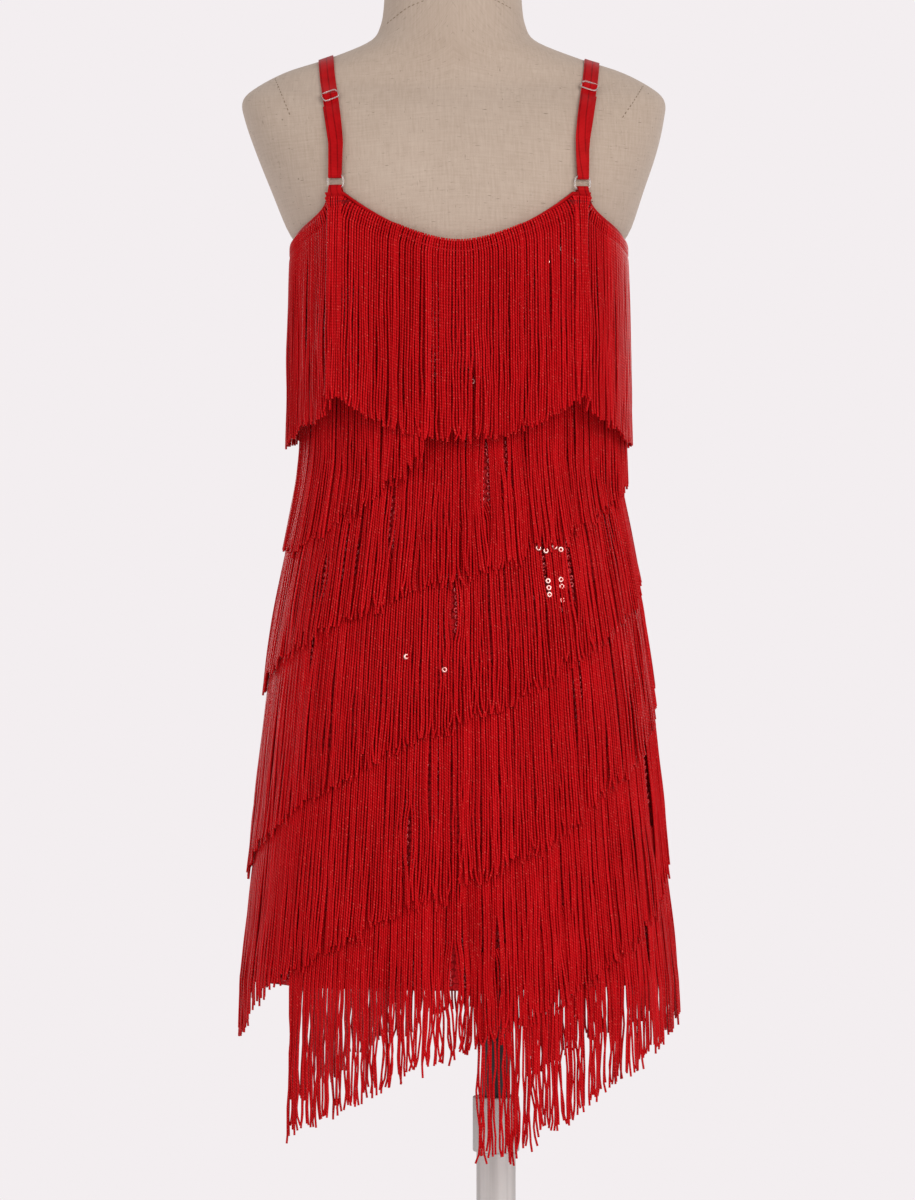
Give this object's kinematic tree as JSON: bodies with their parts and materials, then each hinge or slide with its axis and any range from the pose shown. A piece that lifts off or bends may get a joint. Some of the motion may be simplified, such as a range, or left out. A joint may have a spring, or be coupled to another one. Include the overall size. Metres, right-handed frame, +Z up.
{
  "type": "latin dance dress on a limbless dress form with a stand",
  "caption": "Sleeveless girl's dance dress in diagonal tiers of twisted cord fringe on thin adjustable straps, worn by a limbless linen dress form on a round base.",
  "frame": {"origin": "centre of the underside of the stand's round base plate, on the pole's axis", "axes": "+Z up along the pole; -Y is the side of the dress's back, with the strap rings and sliders; +X is to the right as the back is seen; the diagonal tiers rise towards +X"},
  "size_m": [0.3541, 0.32, 1.245],
  "materials": {
    "cord_fringe": "twisted rayon cord with a soft silky sheen",
    "sequin_cloth": "stretch mesh covered with small flat round sequins",
    "satin_elastic": "satin-faced elastic",
    "clear_plastic": "moulded, clear and glossy",
    "linen": "plain-woven natural linen with slubs",
    "black_steel": "satin black paint",
    "grey_steel": "light grey paint"
  },
  "bodies": {
    "root": {"dress_form": "linen", "form_socket": "black_steel", "stand_rod": "black_steel", "stand_collar": "grey_steel", "stand_tube": "grey_steel", "stand_base": "grey_steel", "cloth_back": "sequin_cloth", "cloth_front": "sequin_cloth", "binding_neck_back": "satin_elastic", "binding_neck_front": "satin_elastic", "binding_arm_back_left": "satin_elastic", "binding_arm_back_right": "satin_elastic", "binding_arm_front_left": "satin_elastic", "binding_arm_front_right": "satin_elastic", "fringe_1_back": "cord_fringe", "fringe_1_front": "cord_fringe", "fringe_2_back": "cord_fringe", "fringe_2_front": "cord_fringe", "fringe_3_back": "cord_fringe", "fringe_3_front": "cord_fringe", "fringe_4_back": "cord_fringe", "fringe_4_front": "cord_fringe", "fringe_5_back": "cord_fringe", "fringe_5_front": "cord_fringe", "fringe_6_back": "cord_fringe", "fringe_6_front": "cord_fringe", "fringe_7_back": "cord_fringe", "fringe_7_front": "cord_fringe", "strap_left": "satin_elastic", "strap_right": "satin_elastic", "tab_left": "satin_elastic", "tab_right": "satin_elastic", "ring_left": "clear_plastic", "ring_right": "clear_plastic", "slider_left": "clear_plastic", "slider_right": "clear_plastic"}
  },
  "joints": []
}
